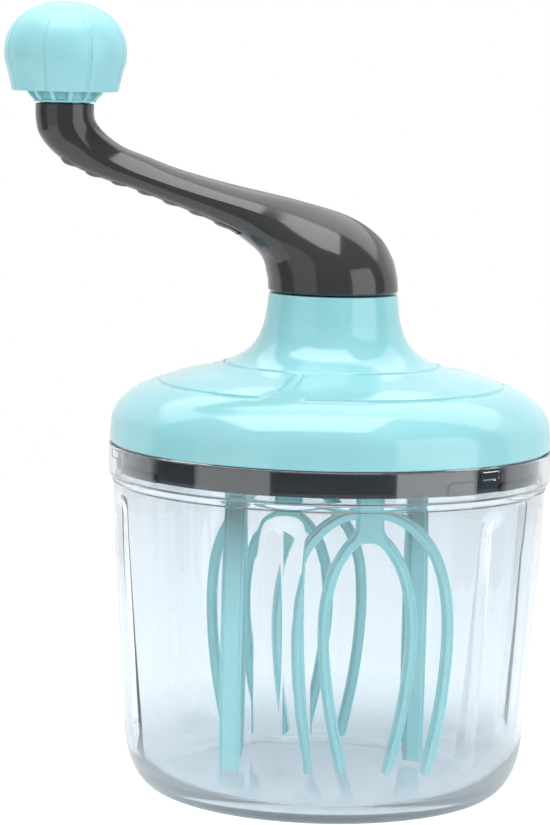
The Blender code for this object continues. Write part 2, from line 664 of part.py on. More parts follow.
def main():
    for obj in list(bpy.data.objects):
        bpy.data.objects.remove(obj, do_unlink=True)

    mint = material("mint_plastic", (0.36, 0.76, 0.78), 0.22)
    whisk_mint = material("whisk_plastic", (0.27, 0.66, 0.62), 0.35)
    grey = material("dark_grey_plastic", (0.085, 0.085, 0.09), 0.2)
    clear = material("clear_bowl", (0.9, 0.95, 1.0), 0.03, transmission=0.95)
    white = material("gear_nylon", (0.86, 0.86, 0.83), 0.45)
    steel = material("steel", (0.62, 0.62, 0.63), 0.3, metallic=1.0)
    silicone = material("silicone", (0.82, 0.84, 0.84), 0.6)

    lid = empty("lid_axis")
    crank = empty("crank_axis", parent=lid)
    knob = empty("knob_axis", (-CRANK_R, 0.0, 0.0), parent=crank)

    make_bowl(clear)
    make_seal(silicone)
    make_cover(mint, lid)
    make_skirt(grey, lid)
    make_ring_gear(white, lid)
    make_bushing(white, lid)
    for i in range(4):
        at = polar(EAR_AT, math.radians(45 + 90 * i))
        screw(f"lid_screw_{i + 1}", at, LID_SCREW_Z, SCREW_HEAD, SCREW_SHANK_R, steel, lid)

    make_carrier(white, crank)
    make_lower_plate(grey, crank)
    for i in range(PLANETS):
        at = pillar_place(i)
        screw(f"carrier_screw_{i + 1}", at, CARRIER_SCREW_Z, SCREW_HEAD, SCREW_SHANK_R, steel, crank)
    make_shaft(steel, crank)
    ring_piece("shaft_washer", 2.6, 7.0, SQUARE_FOOT - GAP - WASHER, SQUARE_FOOT - GAP, steel, crank)
    screw("shaft_bolt", (0.0, 0.0), BOLT_Z, BOLT_HEAD, BOLT_R, steel, crank, 12)
    foot = NECK_TOP + BUSHING_FLANGE + 0.4
    ring_piece("thrust_washer", SHAFT_R + 0.4, BUSHING_R, foot, foot + WASHER, steel, crank, 24)
    make_arm(grey, crank)
    make_arm_cover(grey, crank)
    make_knob_pin(steel, crank)
    make_knob(mint, knob)

    for i in range(PLANETS):
        angle = planet_place(i)
        axis = empty(f"whisk_axis_{i + 1}", (*polar(ORBIT, angle), 0.0), angle, crank)
        make_planet(i + 1, axis, white)
        make_whisk(i + 1, axis, whisk_mint)


main()
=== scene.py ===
"""Looks of the hand-crank egg beater: fine moulded surfaces, materials, soft studio light and the camera."""

import json
import math

import bmesh
import bpy
from mathutils import Matrix, Vector


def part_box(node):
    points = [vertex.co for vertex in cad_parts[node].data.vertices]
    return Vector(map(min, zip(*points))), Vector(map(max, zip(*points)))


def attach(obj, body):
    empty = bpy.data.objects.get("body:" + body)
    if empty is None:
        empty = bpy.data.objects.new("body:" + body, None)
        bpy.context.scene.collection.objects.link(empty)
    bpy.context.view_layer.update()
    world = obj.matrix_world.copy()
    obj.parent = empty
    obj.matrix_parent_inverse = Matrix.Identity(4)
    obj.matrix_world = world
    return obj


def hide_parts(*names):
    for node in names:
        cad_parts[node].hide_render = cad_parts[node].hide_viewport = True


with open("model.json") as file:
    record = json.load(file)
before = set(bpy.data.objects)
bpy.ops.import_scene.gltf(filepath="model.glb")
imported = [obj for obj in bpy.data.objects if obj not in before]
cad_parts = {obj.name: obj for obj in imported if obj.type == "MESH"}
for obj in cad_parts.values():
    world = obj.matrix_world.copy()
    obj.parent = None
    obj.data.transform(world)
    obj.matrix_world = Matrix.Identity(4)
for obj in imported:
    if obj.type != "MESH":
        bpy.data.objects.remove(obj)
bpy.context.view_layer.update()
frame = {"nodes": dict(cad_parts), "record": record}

MM = 0.001


# --- Sizes read from the frame, in millimetres --------------------------------

def low(node, axis):
    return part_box(node)[0]["xyz".index(axis)] / MM


def high(node, axis):
    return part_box(node)[1]["xyz".index(axis)] / MM


def middle(node):
    """Centre of a node's box in plan."""
    return ((low(node, "x") + high(node, "x")) / 2, (low(node, "y") + high(node, "y")) / 2)


RIM_Z = high("bowl", "z")
RIM_R = high("bowl", "x")
COVER_Z = low("lid_cover", "z")
COVER_TOP = high("lid_cover", "z")
COVER_R = high("lid_cover", "x")
SKIRT_FOOT = low("lid_skirt", "z")
SKIRT_TOP = high("lid_skirt", "z")
SEAL_Z = (low("lid_seal", "z"), high("lid_seal", "z"))
SEAL_R = high("lid_seal", "x")
ARM_TOP = high("crank_arm", "z")
KNOB_AT = middle("knob_cap")
KNOB_FOOT = low("knob_cap", "z")
KNOB_TOP = high("knob_cap", "z")
KNOB_R = (high("knob_cap", "x") - low("knob_cap", "x")) / 2
COLLAR_FOOT = low("knob_core", "z")
WHISKS = ["whisk_1", "whisk_2", "whisk_3", "whisk_4"]
WHISK_FOOT = low("whisk_1", "z")
WHISK_TOP = high("whisk_1", "z")

# Directions of the features that repeat round an axis, in degrees from +X.
LUG_AT = [-44.6, 75.4, 195.4]
FLUTE_AT = [-41.5 + 60 * i for i in range(6)]
PANEL_GAP_AT = [-105.7, 14.3, 134.3]
KNOB_GROOVE_AT = [-106.2 + 45 * i for i in range(8)]
COLLAR_RIB_AT = [-76.0 + 30 * i for i in range(12)]


# --- Mesh helpers, all in millimetres -----------------------------------------

def arc(centre, radii, start, stop, steps):
    """Points on an ellipse from start to stop degrees, ends included."""
    points = []
    for i in range(steps + 1):
        a = math.radians(start + (stop - start) * i / steps)
        points.append((centre[0] + radii[0] * math.cos(a), centre[1] + radii[1] * math.sin(a)))
    return points


def smooth(points, count):
    """Catmull-Rom curve through points, count points per span."""
    padded = [2 * Vector(points[0]) - Vector(points[1])]
    padded += [Vector(p) for p in points]
    padded.append(2 * Vector(points[-1]) - Vector(points[-2]))
    curve = []
    for a, b, c, d in zip(padded, padded[1:], padded[2:], padded[3:]):
        for i in range(count):
            t = i / count
            curve.append(0.5 * (2 * b + (c - a) * t + (2 * a - 5 * b + 4 * c - d) * t * t
                                + (3 * b - a - 3 * c + d) * t ** 3))
    curve.append(Vector(points[-1]))
    return curve


def resample(curve, spacing):
    """Points along a polyline, each spacing(point) beyond the one before, ends included."""
    points = [Vector(curve[0])]
    need = spacing(points[0])
    for a, b in zip(curve, curve[1:]):
        a, b = Vector(a), Vector(b)
        length = (b - a).length
        done = 0.0
        while length - done >= need:
            done += need
            points.append(a.lerp(b, done / length))
            need = spacing(points[-1])
        need -= length - done
    if (points[-1] - Vector(curve[-1])).length < 0.5 * spacing(points[-1]):
        points.pop()
    points.append(Vector(curve[-1]))
    return points


def directions(coarse, fine_at=(), reach=0.0, fine=1.0, extra=()):
    """Sorted directions round a circle in degrees: coarse steps, finer ones near some places, and extras."""
    found = set()
    for i in range(round(360 / coarse)):
        angle = i * coarse
        if all(abs(gap(angle, place)) > reach + coarse * 0.4 for place in fine_at):
            found.add(round(angle % 360, 4))
    steps = round(reach / fine) if reach else 0
    for place in fine_at:
        for i in range(-steps, steps + 1):
            found.add(round((place + i * fine) % 360, 4))
    for angle in extra:
        found.add(round(angle % 360, 4))
    ordered = sorted(found)
    return [a for a, b in zip(ordered, ordered[1:] + [ordered[0] + 360]) if b - a > 0.01]


def gap(angle, place):
    """Signed difference of two directions in degrees."""
    return (angle - place + 180) % 360 - 180


def make(name, bm, look, sharp=32, place=(0.0, 0.0)):
    """Turns a bmesh in millimetres into a finished piece; edges over sharp degrees stay sharp."""
    bmesh.ops.translate(bm, verts=bm.verts, vec=(place[0], place[1], 0))
    bmesh.ops.scale(bm, vec=(MM, MM, MM), verts=bm.verts)
    bmesh.ops.recalc_face_normals(bm, faces=bm.faces)
    mesh = bpy.data.meshes.new(name)
    bm.to_mesh(mesh)
    bm.free()
    mesh.shade_smooth()
    mesh.set_sharp_from_angle(angle=math.radians(sharp))
    mesh.materials.append(look)
    made = bpy.data.objects.new(name, mesh)
    bpy.context.scene.collection.objects.link(made)
    return made


def revolve(profile, angles, shape=None):
    """A bmesh: an (r, z) outline turned about Z. shape(angle, r, z) may move a point to a new (angle, r, z).

    The outline is closed; it may start and end on the axis.
    """
    bm = bmesh.new()
    rings = []
    for r, z in profile:
        if r < 1e-6:
            rings.append([bm.verts.new((0, 0, z))])
            continue
        ring = []
        for angle in angles:
            a, rr, zz = shape(angle, r, z) if shape else (angle, r, z)
            a = math.radians(a)
            ring.append(bm.verts.new((rr * math.cos(a), rr * math.sin(a), zz)))
        rings.append(ring)
    pairs = list(zip(rings, rings[1:]))
    if len(rings[0]) > 1:
        pairs.append((rings[-1], rings[0]))
    count = len(angles)
    for one, two in pairs:
        for i in range(count):
            j = (i + 1) % count
            if len(one) == 1:
                bm.faces.new((one[0], two[j], two[i]))
            elif len(two) == 1:
                bm.faces.new((one[i], one[j], two[0]))
            else:
                bm.faces.new((one[i], one[j], two[j], two[i]))
    return bm


def loft(rings):
    """A bmesh: skin over rings of points, closed at both ends."""
    bm = bmesh.new()
    loops = [[bm.verts.new(point) for point in ring] for ring in rings]
    for one, two in zip(loops, loops[1:]):
        for i in range(len(one)):
            j = (i + 1) % len(one)
            bm.faces.new((one[i], one[j], two[j], two[i]))
    bm.faces.new(loops[0])
    bm.faces.new(loops[-1])
    return bm


def clamp(value):
    return max(0.0, min(1.0, value))


def ease(value):
    """Smooth step from 0 to 1."""
    t = clamp(value)
    return t * t * (3 - 2 * t)


def corner_depth(a, b, radius):
    """How far a point is inside a corner rounded by radius, from its depths a and b behind the two edges."""
    if a < radius and b < radius:
        return radius - math.hypot(radius - a, radius - b)
    return min(a, b)


# --- Materials ------------------------------------------------------------------

class Nodes:
    """A material's nodes, added one by one."""

    def __init__(self, name):
        self.look = bpy.data.materials.new(name)
        self.look.use_nodes = True
        self.tree = self.look.node_tree
        self.shader = self.tree.nodes["Principled BSDF"]
        self.place = self.add("ShaderNodeTexCoord").outputs["Object"]

    def add(self, kind, **settings):
        node = self.tree.nodes.new(kind)
        for key, value in settings.items():
            setattr(node, key, value)
        return node

    def link(self, source, target):
        self.tree.links.new(source, target)

    def noise(self, scale, detail=2.0, roughness=0.5, stretch=None):
        """Noise over the piece, its scale in cells per metre; stretch squeezes it along X, Y and Z."""
        node = self.add("ShaderNodeTexNoise")
        node.inputs["Scale"].default_value = scale
        node.inputs["Detail"].default_value = detail
        node.inputs["Roughness"].default_value = roughness
        source = self.place
        if stretch:
            mapping = self.add("ShaderNodeMapping")
            mapping.inputs["Scale"].default_value = stretch
            self.link(source, mapping.inputs["Vector"])
            source = mapping.outputs["Vector"]
        self.link(source, node.inputs["Vector"])
        return node.outputs["Fac"]

    def spread(self, value, first, last, start=0.3, stop=0.7):
        """Maps start…stop, by default a noise's usual range, to first…last."""
        node = self.add("ShaderNodeMapRange")
        node.inputs["From Min"].default_value = start
        node.inputs["From Max"].default_value = stop
        node.inputs["To Min"].default_value = first
        node.inputs["To Max"].default_value = last
        self.link(value, node.inputs["Value"])
        return node.outputs["Result"]

    def colours(self, value, first, last):
        node = self.add("ShaderNodeMix", data_type="RGBA")
        node.inputs["A"].default_value = (*first, 1.0)
        node.inputs["B"].default_value = (*last, 1.0)
        self.link(value, node.inputs["Factor"])
        self.link(node.outputs["Result"], self.shader.inputs["Base Color"])

    def bump(self, value, distance, strength=1.0, under=None):
        node = self.add("ShaderNodeBump")
        node.inputs["Strength"].default_value = strength
        node.inputs["Distance"].default_value = distance
        self.link(value, node.inputs["Height"])
        if under is not None:
            self.link(under, node.inputs["Normal"])
        self.link(node.outputs["Normal"], self.shader.inputs["Normal"])
        return node.outputs["Normal"]

    def set(self, **values):
        for key, value in values.items():
            self.shader.inputs[key.replace("_", " ")].default_value = value


def shade(colour, factor):
    return tuple(min(1.0, channel * factor) for channel in colour)


def moulded(name, colour, gloss, ripple=0.00001, grain=0.0):
    """Injection-moulded plastic: faint flow mottling, a slight orange peel and uneven gloss."""
    vary = 0.05
    n = Nodes(name)
    n.colours(n.spread(n.noise(38, 3.0), 0, 1), shade(colour, 1 - vary), shade(colour, 1 + vary))
    n.link(n.spread(n.noise(160, 4.0, 0.6), gloss * 0.85, gloss * 1.25), n.shader.inputs["Roughness"])
    first = n.bump(n.noise(260, 1.0), ripple)
    if grain:
        n.bump(n.noise(5200, 2.0, 0.6), grain, 0.6, first)
    n.set(IOR=1.5)
    return n.look


def clear_plastic(name):
    """Clear bowl plastic, a little cloudy round its foot; light falls through it straight onto the whisks."""
    n = Nodes(name)
    n.set(IOR=1.53, Transmission_Weight=1.0)
    n.colours(n.spread(n.noise(14, 2.0), 0, 1), (0.808, 0.86, 0.90), (0.82, 0.87, 0.905))
    n.link(n.spread(n.noise(90, 3.0), 0.0, 0.02), n.shader.inputs["Roughness"])
    n.bump(n.noise(46, 1.0, 0.4, (1.0, 1.0, 0.28)), 0.00002)
    out = n.tree.nodes["Material Output"]
    axes = n.add("ShaderNodeSeparateXYZ")
    n.link(n.place, axes.inputs["Vector"])
    plan = n.add("ShaderNodeVectorMath", operation="MULTIPLY")
    plan.inputs[1].default_value = (1.0, 1.0, 0.0)
    n.link(n.place, plan.inputs[0])
    radius = n.add("ShaderNodeVectorMath", operation="LENGTH")
    n.link(plan.outputs["Vector"], radius.inputs[0])
    cloud = n.add("ShaderNodeMath", operation="MULTIPLY")
    n.link(n.spread(axes.outputs["Z"], 1.0, 0.0, 0.012, 0.030), cloud.inputs[0])
    n.link(n.spread(radius.outputs["Value"], 0.25, 1.0, 0.054, 0.064), cloud.inputs[1])
    n.link(n.spread(cloud.outputs["Value"], 1.0, 0.84, 0.0, 1.0), n.shader.inputs["Transmission Weight"])
    path = n.add("ShaderNodeLightPath")
    lit = n.add("ShaderNodeMath", operation="MAXIMUM")
    n.link(path.outputs["Is Shadow Ray"], lit.inputs[0])
    n.link(path.outputs["Is Diffuse Ray"], lit.inputs[1])
    through = n.add("ShaderNodeBsdfTransparent")
    through.inputs["Color"].default_value = (0.9, 0.93, 0.95, 1.0)
    mix = n.add("ShaderNodeMixShader")
    n.link(lit.outputs["Value"], mix.inputs["Fac"])
    n.link(n.shader.outputs["BSDF"], mix.inputs[1])
    n.link(through.outputs["BSDF"], mix.inputs[2])
    n.link(mix.outputs["Shader"], out.inputs["Surface"])
    return n.look


def turned_steel(name):
    """Bright zinc-plated steel with fine lathe lines round the upright axis."""
    n = Nodes(name)
    n.colours(n.spread(n.noise(120, 4.0, 0.6), 0, 1), (0.55, 0.55, 0.57), (0.70, 0.70, 0.71))
    n.link(n.spread(n.noise(300, 3.0), 0.22, 0.38), n.shader.inputs["Roughness"])
    n.bump(n.noise(900, 3.0, 0.6, (0.15, 0.15, 4.0)), 0.00002)
    n.set(Metallic=1.0)
    return n.look


def soft_silicone(name):
    """Milky seal rubber, a little dusty."""
    n = Nodes(name)
    n.colours(n.spread(n.noise(90, 4.0), 0, 1), (0.70, 0.73, 0.74), (0.82, 0.84, 0.85))
    n.link(n.spread(n.noise(500, 3.0), 0.5, 0.68), n.shader.inputs["Roughness"])
    n.bump(n.noise(1800, 3.0, 0.6), 0.00003)
    n.set(IOR=1.42)
    return n.look


# --- Bowl -----------------------------------------------------------------------

STEP_DROP = 11.2        # height of the rim band
STEP_IN = 1.0           # how far the wall stands in under the band
RIM_WALL = 2.5
WALL = 2.3
CORNER = (62.0, 24.0)   # centre of the outer bottom corner's ellipse
FOOT_R = 75.8
LOW_WALL = (FOOT_R + 2.8, 61.0)     # the wall leans out up to here, and less above it
HIGH_WALL = (RIM_R - STEP_IN - 1.2, 98.0)
FLOOR_Z = 5.4
FLOOR_R = 61.0
LUG_HALF = 3.5          # half a lug's length, in degrees
LUG_Z = (126.6, 129.6)
LUG_BORE = 79.6         # radius of the lugs' inner faces
LUG_ROW = 0.3           # height of the grid's rows across the lugs and the skirt's blocks
FLUTE_TOP = 115.0
FLUTE_FOOT = 15.0
FLUTE_HALF = (7.0, 11.5)    # half width at the top and at the foot
FLUTE_DEEP = 1.4
FLUTE_P = 6.0           # the grid's half width of a flute, in degrees, before it is fitted
FLUTE_BLEND = 22.0      # the grid is unchanged this far from a flute
FLUTE_STEPS = (0, 0.6, 1.5, 3, 4.5, 5.4, 6, 6.8)
LUG_STEPS = (-1.5, -1.2, -0.9, -0.6, -0.35, -0.15, 0.0, 0.15, 0.35)


def flute_half(z):
    """Half width of a flute at a height."""
    t = clamp((FLUTE_TOP - z) / (FLUTE_TOP - FLUTE_FOOT))
    return FLUTE_HALF[0] + (FLUTE_HALF[1] - FLUTE_HALF[0]) * t


def nearest(angle, places):
    """The nearest place's direction and the signed difference from it."""
    offset = min((gap(angle, place) for place in places), key=abs)
    return angle - offset, offset


def bowl_point(inside):
    """Shape function of the bowl: fitted flutes inside the wall, lugs inside the rim."""
    def shape(angle, r, z):
        place, offset = nearest(angle, FLUTE_AT)
        half = math.degrees(flute_half(z) / max(r, 20.0))
        side = math.copysign(1.0, offset)
        if z < RIM_Z - STEP_DROP - 4.0 and r > 30.0:
            if abs(offset) <= FLUTE_P:
                offset *= half / FLUTE_P
            elif abs(offset) < FLUTE_BLEND:
                offset += side * (half - FLUTE_P) * (FLUTE_BLEND - abs(offset)) / (FLUTE_BLEND - FLUTE_P)
        if (r, z) in inside and r > 30.0:
            ends = ease((FLUTE_TOP - z) / 8.0) * ease((z - FLUTE_FOOT) / 9.0)
            r -= FLUTE_DEEP * ends * clamp(1 - abs(offset) / half)
            if RIM_Z - STEP_DROP < z < RIM_Z - 1.0:
                _, from_lug = nearest(angle, LUG_AT)
                across = math.radians(LUG_HALF - abs(from_lug)) * r
                along = min(z - LUG_Z[0], LUG_Z[1] - z)
                r -= (r - LUG_BORE) * ease(corner_depth(across, along, 1.3) / 0.3 + 0.5)
        return place + offset, r, z
    return shape


def round_corner(before, corner, after, radius, steps=3):
    """Replaces a corner of an outline by a small rounding."""
    a = Vector(corner) + (Vector(before) - Vector(corner)).normalized() * radius
    b = Vector(corner) + (Vector(after) - Vector(corner)).normalized() * radius
    points = []
    for i in range(steps + 1):
        t = i / steps
        point = a * (1 - t) ** 2 + Vector(corner) * 2 * t * (1 - t) + b * t * t
        points.append(tuple(point))
    return points


def rounded(points, radii):
    """An outline with some of its corners rounded: radii maps a point's index to its radius."""
    result = []
    for i, point in enumerate(points):
        if i in radii:
            result += round_corner(points[i - 1], point, points[(i + 1) % len(points)], radii[i])
        else:
            result.append(tuple(point))
    return result


def make_bowl(look):
    step = RIM_Z - STEP_DROP
    wall_top = RIM_R - STEP_IN
    bore = RIM_R - RIM_WALL
    outer = [(0.0, 0.0), (20.0, 0.0), (40.0, 0.0), (52.0, 0.0)]
    outer += arc(CORNER, (FOOT_R - CORNER[0], CORNER[1]), -90, 0, 26)
    outer += [LOW_WALL, HIGH_WALL]
    outer = [outer[0]] + [tuple(p) for p in resample(outer[1:], lambda p: 1.1 if p[0] > 55 else 9.0)]
    top = [(wall_top - 0.5, step - 3.4), (wall_top, step - 2.9), (wall_top + 0.1, step - 0.9), (RIM_R, step)]
    top += [(RIM_R, step + 0.8), (RIM_R, RIM_Z - 0.9), (RIM_R, RIM_Z), (bore, RIM_Z)]
    outer += rounded([outer[-1]] + top, {1: 0.25, 2: 0.25, 3: 0.4, 4: 0.35, 7: 0.5})[1:-1]
    inner = [(bore + 0.4, RIM_Z), (bore, RIM_Z - 0.4)]
    inner += [(bore, LUG_Z[1] + (2 - i) * LUG_ROW) for i in range(18)]
    inner += [(bore, step + 0.8), (bore, step), (wall_top - WALL - 0.2, step - 2.0)]
    wall = [inner[-1], (HIGH_WALL[0] - WALL, HIGH_WALL[1]), (LOW_WALL[0] - WALL, LOW_WALL[1])]
    wall += arc((FLOOR_R, CORNER[1]), (FOOT_R - WALL - FLOOR_R, CORNER[1] - FLOOR_Z), 0, -90, 26)
    inner += [tuple(p) for p in resample(wall, lambda p: 1.0)][1:]
    inner += [(45.0, FLOOR_Z), (25.0, FLOOR_Z), (0.0, FLOOR_Z)]
    flutes = [flute + side * p for flute in FLUTE_AT for side in (-1, 1) for p in FLUTE_STEPS]
    lug_edges = [lug + side * (LUG_HALF + e) for lug in LUG_AT for side in (-1, 1) for e in LUG_STEPS]
    angles = directions(1.25, extra=flutes + lug_edges)
    bm = revolve(outer + inner, angles, bowl_point(set(inner)))
    bowl = make("clear_bowl", bm, look, 26)
    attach(bowl, "bowl")
    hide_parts("bowl")


# --- Lid ------------------------------------------------------------------------

# The cover's outline as (r, z), up the shoulder and up the neck.
SHOULDER = [(82.9, 135.5), (81.3, 143.8), (73.6, 151.2), (59.0, 156.8), (45.0, 160.3)]
NECK = [(34.6, 164.3), (29.0, 169.4), (26.0, 176.2), (24.8, 183.0)]
NECK_R = 24.3
CIRCLE_R = 40.5         # engraved circle round the neck
PANEL_R = 65.3          # outer edge of the engraved panels
PANEL_CORNER = 6.5
GAP_HALF = 2.5          # half the gap between panels, in degrees
GROOVE_HALF = 0.8
GROOVE_DEEP = 0.8


def groove(distance):
    """Depth of an engraved line at a distance from its middle."""
    return GROOVE_DEEP * clamp(1 - (distance / GROOVE_HALF) ** 2)


def lid_point(outside):
    """Shape function of the cover: an engraved circle and three engraved panels round it."""
    def shape(angle, r, z):
        if (r, z) not in outside or not CIRCLE_R - 2 < r < PANEL_R + 2:
            return angle, r, z
        _, offset = nearest(angle, PANEL_GAP_AT)
        from_end = math.radians(abs(offset) - GAP_HALF) * r
        depth = groove(r - CIRCLE_R)
        if r > CIRCLE_R:
            inside = corner_depth(from_end, PANEL_R - r, PANEL_CORNER)
            depth = max(depth, groove(inside))
        return angle, r, z - depth
    return shape


def make_cover(look):
    curve = smooth([(COVER_R, COVER_Z + 0.5)] + SHOULDER + NECK + [(NECK_R, COVER_TOP - 0.5)], 12)
    fine = 0.27
    outline = resample(curve, lambda p: fine if CIRCLE_R - 1 < p[0] < PANEL_R + 1 else 1.3)
    outer = [(COVER_R - 0.4, COVER_Z)] + [tuple(p) for p in outline]
    outer += [(NECK_R - 0.15, COVER_TOP - 0.15), (NECK_R - 0.5, COVER_TOP)]
    inner = [(10.5, COVER_TOP), (10.5, 163.0), (13.2, 163.0), (13.2, COVER_TOP - 4.0)]
    inner += [(NECK_R - 2.4, COVER_TOP - 4.0), (24.2, 173.5), (32.0, 162.4), (45.0, 157.6), (59.0, 153.9)]
    inner += [(72.0, 149.0), (79.2, 142.5), (80.4, 134.8), (81.9, 134.3), (81.9, COVER_Z)]
    ends = [place + side * (GAP_HALF + math.degrees(e / 55)) for place in PANEL_GAP_AT
            for side in (-1, 1) for e in (-0.3, 0.0, 0.3)]
    angles = directions(1.25, PANEL_GAP_AT, 10.5, 0.25, ends)
    cover = make("mint_cover", revolve(outer + inner, angles, lid_point(set(outer))), look, 30)
    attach(cover, "lid")
    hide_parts("lid_cover")


SKIRT_R = 79.2
SKIRT_WALL = 2.0
SKIRT_DROP = 0.8        # the skirt hangs this much lower here than the solid does
STOP_ARC = 9.4          # length of the block before each lug, in degrees
LEDGE_ARC = 20.0        # length of the lower block after it
BLOCK_CLEAR = 0.7       # gap beside the lug, in degrees
STOP_TOP = 126.4
LEDGE_TOP = 124.7
BLOCK_REACH = 1.1       # how far the blocks stand out
BLOCK_ROUND = 1.8       # radius of the blocks' corners


def skirt_point(outside):
    """Shape function of the skirt: a stop block and a ledge beside each lug."""
    def shape(angle, r, z):
        if (r, z) not in outside:
            return angle, r, z
        _, offset = nearest(angle, LUG_AT)
        depth = -1.0
        for near, span, top in ((-1, STOP_ARC, STOP_TOP), (1, LEDGE_ARC, LEDGE_TOP)):
            start = LUG_HALF + BLOCK_CLEAR
            along = min(offset * near - start, start + span - offset * near)
            depth = max(depth, corner_depth(math.radians(along) * r, top - z, BLOCK_ROUND))
        return angle, r + BLOCK_REACH * ease(depth / 0.3 + 0.5), z
    return shape


def make_skirt(look):
    bore = SKIRT_R - SKIRT_WALL
    ledge_r = 58.0
    foot = SKIRT_FOOT - SKIRT_DROP
    outer = [(SKIRT_R, SKIRT_TOP)]
    outer += [(SKIRT_R, 130.0 - LUG_ROW * i) for i in range(25)]
    outer += [(SKIRT_R - 0.2, foot + 0.15)]
    inner = [(SKIRT_R - 0.6, foot), (bore + 0.3, foot), (bore, foot + 0.3)]
    inner += [(bore, SKIRT_TOP - SKIRT_WALL), (ledge_r, SKIRT_TOP - SKIRT_WALL), (ledge_r, SKIRT_TOP)]
    edges = []
    for lug in LUG_AT:
        for edge in (-LUG_HALF - BLOCK_CLEAR, -LUG_HALF - BLOCK_CLEAR - STOP_ARC,
                     LUG_HALF + BLOCK_CLEAR, LUG_HALF + BLOCK_CLEAR + LEDGE_ARC):
            edges += [lug + edge + 0.22 * i for i in range(-6, 7)]
    angles = directions(1.25, extra=edges)
    skirt = make("lid_skirt_band", revolve(outer + inner, angles, skirt_point(set(outer))), look, 30)
    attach(skirt, "lid")
    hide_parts("lid_skirt")


def make_seal(look):
    """Round-edged rubber ring on the bowl's rim."""
    inner_r = SEAL_R - 0.8
    bottom, top = SEAL_Z
    ring = rounded([(inner_r, bottom), (SEAL_R, bottom), (SEAL_R, top), (inner_r, top)],
                   {0: 0.25, 1: 0.25, 2: 0.25, 3: 0.25})
    seal = make("rim_seal", revolve(ring, directions(1.5)), look, 40)
    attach(seal, "seal")
    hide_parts("lid_seal")


# --- Crank ----------------------------------------------------------------------

# Side view of the arm: lower edge, upper edge (x, z) and half width across, from the hub to the knob.
ARM_STATIONS = [
    ((-24.5, 188.9), (24.4, 188.9), 24.4),
    ((-25.1, 194.6), (23.8, 195.4), 24.3),
    ((-27.4, 201.6), (21.6, 202.4), 23.2),
    ((-33.7, 207.3), (16.2, 210.2), 20.1),
    ((-41.3, 212.0), (4.6, 217.4), 16.8),
    ((-51.3, 216.4), (-16.0, 223.2), 14.0),
    ((-63.0, 220.8), (-40.5, 228.6), 11.8),
    ((-75.8, 225.5), (-58.4, 233.3), 10.3),
    ((-88.8, 229.6), (-70.7, 237.7), 9.7),
    ((-99.2, 234.0), (-79.6, 241.1), 9.9),
    ((-106.2, 238.9), (-86.0, 245.4), 10.6),
    ((-111.2, 245.0), (-89.9, 249.8), 10.9),
    ((-112.8, 251.0), (-90.9, 252.8), 11.0),
    ((-113.0, ARM_TOP), (-90.9, ARM_TOP), 11.1),
]
# How sharply the arm's side turns into its roof at each station.
ARM_RIDGE = [0.0, 0.0, 0.1, 0.35, 0.65, 0.85, 0.95, 1.0, 1.0, 0.9, 0.6, 0.25, 0.0, 0.0]
ROOF_POWER = 0.85       # at a full ridge, the roof's exponent is this much over an oval's
BELLY_POWER = 0.25      # and the belly's is this much under it
HUB_HALF = 24.4         # radius of the upright dome over the hub
DOME_FROM, DOME_TO = -32.0, -6.0    # the arm's sides turn into that dome along this stretch of x
DOME_STRETCH = 0.3      # x counts this much less on the dome's arm side, which makes it longer there
HUB_POWERS = 2.6, 0.85  # how late the dome's side leans back, and how round its top is
PER_SPAN = 10           # sections per span between two stations
NECK_BOSS = 0.35        # the arm's end rises this much under the knob
STRIP_SPAN = 0.56       # the grip strip's width as a share of the arm's
STRIP_DEEP = 2.3
STRIP_FIRST, STRIP_LAST = 35, 96   # the strip's stretch of stations
RIB_PITCH = 10.3
RIB_SHIFT = 4.2         # where the first rib lies in its pitch
RIB_LONG = 6.4
RIB_HIGH = 1.1
CLEAR = 0.15            # gap round the strip
WELD = 0.001            # points this close are one


def arm_stations():
    """Every section's place as (lower edge, upper edge, half width, ridge)."""
    lower = smooth([s[0] for s in ARM_STATIONS], PER_SPAN)
    upper = smooth([s[1] for s in ARM_STATIONS], PER_SPAN)
    across = smooth([(s[2], ridge) for s, ridge in zip(ARM_STATIONS, ARM_RIDGE)], PER_SPAN)
    return [(a, b, w.x, clamp(w.y)) for a, b, w in zip(lower, upper, across)]


def hub_side(roof, x, z, y):
    """How far out a point of the arm's section lies: the section's own value, or the dome's over the hub."""
    share = ease((x - DOME_FROM) / (DOME_TO - DOME_FROM))
    if share <= 0:
        return y
    foot = roof[0].y
    top = foot
    for one, two in zip(roof, roof[1:]):
        if two.x <= x <= one.x:
            top = one.y + (two.y - one.y) * (one.x - x) / max(one.x - two.x, 1e-6)
            break
    rise = clamp((z - foot) / max(top - foot, 0.01))
    towards_arm = 1 - DOME_STRETCH * ease((rise - 0.3) / 0.45) if x < 0 else 1.0
    dome = math.sqrt(max(HUB_HALF ** 2 - (x * towards_arm) ** 2, 0.0))
    dome *= (1 - rise ** HUB_POWERS[0]) ** HUB_POWERS[1]
    return y + (math.copysign(dome, y) - y) * share


